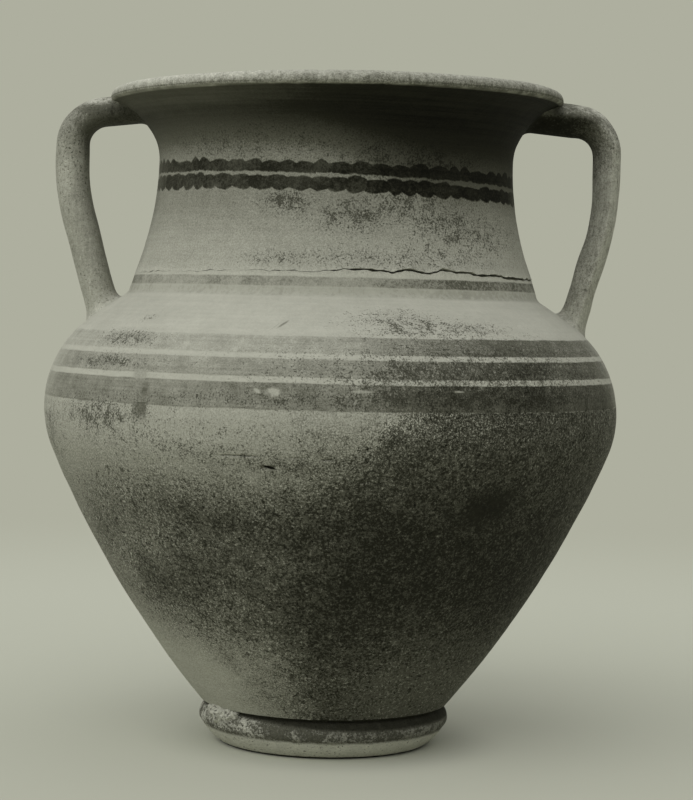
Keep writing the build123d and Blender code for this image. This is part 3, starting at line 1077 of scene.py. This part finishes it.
# Lump of luting clay left in the groove above the foot
lump_radius, lump_tallness = 0.0055, 1.25
lump_out, lump_sink = 0.35, 0.001  # how far its middle lies out, as a share of its radius, and down
lump_first, lump_last, lump_end = radians(-68), radians(-43), 0.1
lump_rings, lump_columns = 60, 36
lump_crumbs = (0.30, 0.0045, 31), (0.20, 0.0018, 32)


def foot_lump(name):
    """A ragged sausage of clay, thinner at its ends."""
    turns = np.linspace(0, 2 * pi, lump_columns, endpoint=False)
    places = np.linspace(lump_first, lump_last, lump_rings)[:, None]
    share = np.linspace(-1, 1, lump_rings)[:, None]
    size = lump_radius * (np.sqrt(np.clip(1 - share**2, 0, 1)) * (1 - lump_end) + lump_end)
    centre = groove_radius + lump_radius * lump_out
    height = foot_groove_start - lump_sink + size * lump_tallness * np.sin(turns)
    rings = swung(centre + size * np.cos(turns), height, places)
    middle = swung(centre, foot_groove_start, places)
    points = middle + (rings - middle) * (1 + layered(rings, *lump_crumbs))[..., None]
    faces = tube_faces(lump_rings, lump_columns)
    add_piece(f"{name}_pressed", points, faces, name, (luting_clay,))


foot_lump("foot_seam_lump")

# Strap handles
handle_top_fall = radians(6)
handle_bend_radius = 0.026
handle_bow_radius = 0.180
handle_widths = (0.042, 0.036, 0.040)  # at the top, at the section's share and at the root
handle_section_share = 0.45
handle_step = 0.002
handle_columns = 96
handle_squareness = (0.92, 0.96)  # across and through the strap; 1 is an oval
handle_sunk = 0.005  # how far its ends run into the wall
handle_free_reach = 0.177  # radius at which its top is clear of the lip
root_stop = 0.016  # how far above the shoulder its last free ring lies
top_flare, top_flare_reach, top_flare_slant = 0.0050, 0.0085, 0.5
top_rings, root_rings, skirt_rings = 44, 12, 14

# Marks of the fingers on a strap, and its drift sideways, as height, size and seed
finger_marks = (0.0007, 0.022, 40), (0.00025, 0.006, 43, 1, 1, 0.35)
handle_drift = (0.0015, 0.08, 46)

# The clay wiped round a root: how far it runs up and out, how uneven that is, and its thin edges
root_coil_up, root_coil_out = 0.013, 0.0075
root_coil_unevenness = (0.25, 0.02, 50)
root_coil_ankle, root_coil_toe, root_coil_shrink = 0.004, 0.0008, 0.2
root_coil_depths = (0.003, 0.004)

# Side, name, drop of the top, drop of the knee, flare, thickness at the top and below, root's share,
# place of the ridge and how pinched it is
handle_pair = (
    (-1, "left", 0.0197, 0.0592, 0.0261, 0.020, 0.025, 0.38, -0.14, 1.0),
    (1, "right", 0.0225, 0.0684, 0.0243, 0.029, 0.0208, 0.14, 0.14, 1.50),
)


def along_arc(line, share):
    """Point at a share of a line of evenly spaced points."""
    place = share * (len(line) - 1)
    low = min(int(place), len(line) - 2)
    return line[low] + (line[low + 1] - line[low]) * (place - low)


def on_side(side, flat, across=0.0):
    """Points of a handle's plane, as radius and height, on one side of the jar."""
    return np.stack([side * flat[..., 0], across + 0 * flat[..., 0], flat[..., 1]], axis=-1)


def for_side(side, *layers):
    """The same layers of relief with one side's own seeds."""
    return [(height, size, seed + side, *scales) for height, size, seed, *scales in layers]


def onto_jar(points, sunk=0.0):
    """Points moved level onto the jar's outside, or under it."""
    moved = np.array(points)
    target = radius_at(moved[..., 2]) - sunk
    moved[..., :2] *= (target / lengths(moved[..., :2]))[..., None]
    return moved


def slid_to_jar(points, heading, sunk, reach=0.07):
    """Points slid along a heading onto the jar's outside, or under it."""
    low, high = np.zeros(points.shape[:-1]), np.full(points.shape[:-1], reach)
    for _ in range(30):
        middle = (low + high) / 2
        tried = points + heading * middle[..., None]
        free = lengths(tried[..., :2]) > radius_at(tried[..., 2]) - sunk
        low, high = np.where(free, middle, low), np.where(free, high, middle)
    return points + heading * low[..., None]


def even_spine(spine):
    """A spine's points at even steps, and each one's share of the way."""
    length = np.r_[0, np.cumsum(lengths(np.diff(spine, axis=0)))]
    even = np.linspace(0, length[-1], int(length[-1] / handle_step))
    spaced = [np.interp(even, length, places) for places in spine.T]
    return np.stack(spaced, axis=1), even / even[-1]


def strap_section(ridge, pinch):
    """A strap's section, in half widths across and half thicknesses through."""
    turns = np.linspace(0, 2 * pi, handle_columns, endpoint=False)
    flat, tall = (
        np.sign(wave) * np.abs(wave) ** (squareness * pinch)
        for wave, squareness in zip((np.cos(turns), np.sin(turns)), handle_squareness)
    )
    return flat, tall + ridge * np.abs(flat) ** 1.5


def strap_rings(side, spine, share, thicknesses, flat, tall):
    """The strap's free rings, pressed by fingers and drifting a little sideways."""
    along = headings(spine)
    outward = np.c_[-along[:, 1], along[:, 0]]
    shares = (0, handle_section_share, 1)
    width, depth = (np.interp(share, shares, sizes) / 2 for sizes in (handle_widths, thicknesses))
    level = spine[:, None] + (outward * depth[:, None])[:, None] * tall[:, None]
    rings = on_side(side, level, flat * width[:, None])
    centre = on_side(side, spine)[:, None]
    normal = directions(rings - centre)
    rings = rings + normal * layered(rings, *for_side(side, *finger_marks))[..., None]
    rings[..., 1] += layered(centre, *for_side(side, handle_drift))
    return rings, on_side(side, -along[0])


def top_end(ring, inward, fall):
    """Rings from inside the neck out to the first free one, flared under the lip."""
    flared = ring + fall * top_flare
    buried = slid_to_jar(flared, inward, handle_sunk) - fall * top_flare
    share = np.linspace(0, 1, top_rings)[:-1, None]
    clear = np.clip(lengths(ring - buried) * share - handle_sunk, 0, top_flare_reach) / top_flare_reach
    swell = top_flare * (1 - np.sqrt(1 - (1 - clear) ** 2))
    return buried + (ring - buried) * share[..., None] + fall * swell[..., None]


def handle(side, name, top_drop, knee_drop, flare, top_thickness, thickness, root_share, ridge, pinch):
    """A hand-pulled strap and the clay wiped round its root."""
    root = along_arc(shoulder, root_share)
    bend = np.array([root[0] + flare, jar_height - top_drop])
    knee = bend - np.array([0, knee_drop])
    shaft = heading_from(root, knee)
    start = np.array([waist[0], bend[1] + (bend[0] - waist[0]) * tan(handle_top_fall)])
    top, drop = straight(start, bend, handle_step), straight(bend, knee, handle_step)
    shank = straight(knee, root + shaft * root_stop, handle_step)
    spine, share = even_spine(eased(eased(top, drop, handle_bend_radius), shank, handle_bow_radius))

    flat, tall = strap_section(ridge, pinch)
    thicknesses = (top_thickness, thickness, thickness)
    rings, inward = strap_rings(side, spine, share, thicknesses, flat, tall)
    free = int(np.argmax(spine[:, 0] > handle_free_reach))
    fall = np.c_[0 * flat, flat * top_flare_slant, np.minimum(tall, 0)]
    down = on_side(side, -shaft)
    sunk = slid_to_jar(rings[-1], down, handle_sunk)
    steps = np.linspace(0, 1, root_rings)[1:, None, None]
    root_end = rings[-1] + (sunk - rings[-1]) * steps
    tube = np.concatenate([top_end(rings[free], inward, fall), rings[free:], root_end])
    faces = tube_faces(len(tube), handle_columns)
    add_piece(f"{name}_handle_pulled", settled(tube), faces, f"{name}_handle", (handled_clay,))
    root_coil(side, f"{name}_root_coil", rings[-1], down, on_side(side, root))


def root_coil(side, name, ring, down, root):
    """The clay wiped from the handle onto the shoulder, as a skirt that fades out both ways."""
    foot = slid_to_jar(ring, down, 0.0)
    patch = 1 + layered(foot, *for_side(side, root_coil_unevenness))[:, None]
    toe = onto_jar(foot + directions(foot - root) * root_coil_out * patch, root_coil_toe)
    ankle = foot - down * root_coil_up * patch
    ankle = ankle + (ring - ring.mean(axis=0)) * root_coil_ankle
    steps = np.linspace(0, 1, skirt_rings)[:, None, None]
    skirt = ankle * (1 - steps) ** 2 + foot * 2 * steps * (1 - steps) + toe * steps**2
    inside = [
        onto_jar(toe, root_coil_depths[0]),
        onto_jar(foot + (root - foot) * root_coil_shrink, root_coil_depths[1]),
        ankle + (ankle.mean(axis=0) - ankle) * root_coil_shrink,
    ]
    rows = settled(np.concatenate([skirt, inside]))
    faces = ring_faces(len(rows), handle_columns)
    add_piece(f"{name}_wiped", rows, faces, name, (handled_clay,))


for one in handle_pair:
    handle(*one)

# Floor of pale paper, which runs into an even background
paper_grey, paper_roughness, paper_gloss = (186, 188, 172), 0.9, 0.1
background_grey = (174, 175, 159)
floor_half = 14.0
floor_fades = (0.75, 1.9)
# Round the foot: radii over which a camera-only glow paints light into the jar's shadow, how much, and how
# much more in front
shade_fades, shade_lift, shade_turn = (0.085, 0.15), 0.28, 0.26


def camera_share(tree):
    """1 for rays from the camera and for those that mirrors and glass pass on."""
    path = tree.nodes.new("ShaderNodeLightPath")
    kinds = ("Camera", "Glossy", "Transmission")
    seen, glossy, passed = (Signal(path.outputs[f"Is {kind} Ray"]) for kind in kinds)
    return seen.larger(glossy).larger(passed)


def blend(tree, share, shader, seen, output):
    """Send a share of one shader over another to the tree's output."""
    mixed = add_node(tree, "MixShader", {0: share, 1: shader.outputs[0], 2: seen.outputs[0]})
    plug(tree.nodes[output], {"Surface": mixed.outputs[0]})


def paper_floor():
    """Paper under the jar; round its foot a camera-only glow paints light into its shadow, more in front,
    and further off it is lost in the background.
    """
    mesh = bpy.data.meshes.new("floor")
    corners = [(x * floor_half, y * floor_half, 0) for x, y in ((-1, -1), (1, -1), (1, 1), (-1, 1))]
    mesh.from_pydata(corners, [], [(0, 1, 2, 3)])
    floor = add_object("floor", mesh)
    s = Surface("paper")
    plug(s.shader, {"Base Color": grey(paper_grey)})
    plug(s.shader, {"Roughness": paper_roughness, "Specular IOR Level": paper_gloss})
    # Painted light: a camera-only glow lightens the jar's shadow round the foot, more in front than behind
    painted_shadow_lift = s.radius.step(*shade_fades) * (shade_lift - s.y / s.radius * shade_turn)
    share = s.radius.step(*floor_fades).larger(painted_shadow_lift) * camera_share(s.tree)
    glow = add_node(s.tree, "Emission", {"Color": grey(background_grey)})
    blend(s.tree, share, s.shader, glow, "Material Output")
    mesh.materials.append(s.material)


paper_floor()

# Camera, as it stood to the photograph: 693 by 800 pixels
photo_long_side = 800
sensor_width = 36
focal_pixels = 2277.93
camera_distance = 1.7586
camera_height = 0.3348
camera_pitch, camera_roll, camera_yaw = 0.04038, 0.02366, 0.00698


def place_camera():
    """The camera, turned by its yaw, pitch and roll, one after the other."""
    data = bpy.data.cameras.new("camera")
    data.sensor_width = sensor_width
    data.lens = sensor_width * focal_pixels / photo_long_side
    camera = add_object("camera", data)
    pose = Matrix.Translation((0, -camera_distance, camera_height))
    for turn, axis in ((-camera_yaw, "Z"), (pi / 2 - camera_pitch, "X"), (camera_roll, "Z")):
        pose = pose @ Matrix.Rotation(turn, 4, axis)
    camera.matrix_world = pose
    bpy.context.scene.camera = camera


place_camera()

# Light: name, angle, elevation, softness in degrees and level, where 1 is full daylight
suns = (
    ("window", -25, 40, 60, 0.32),
    ("side_window", -85, 30, 50, 0.16),
)
sky_low, sky_high = 0.03, 0.95
sky_rises = (0.10, 0.90)


def add_sun(name, angle, elevation, softness, level):
    """A soft, far light from an angle and an elevation."""
    data = bpy.data.lights.new(name, "SUN")
    data.angle = radians(softness)
    data.energy = pi * level
    add_object(name, data).rotation_euler = (pi / 2 - radians(elevation), 0, radians(angle))


def studio_sky():
    """A sky that is brightest overhead. The camera sees the even background instead."""
    world = bpy.data.worlds.new("sky")
    bpy.context.scene.world = world
    world.use_nodes = True
    tree = world.node_tree
    direction = tree.nodes.new("ShaderNodeTexCoord").outputs["Generated"]
    split = add_node(tree, "SeparateXYZ", {0: direction})
    rise = Signal(split.outputs[2]).step(*sky_rises)
    sky, seen = tree.nodes["Background"], add_node(tree, "Background", {"Color": grey(background_grey)})
    plug(sky, {"Color": (1, 1, 1, 1), "Strength": rise * (sky_high - sky_low) + sky_low})
    blend(tree, camera_share(tree), sky, seen, "World Output")


for sun in suns:
    add_sun(*sun)
studio_sky()

bpy.context.scene.view_settings.view_transform = "Standard"
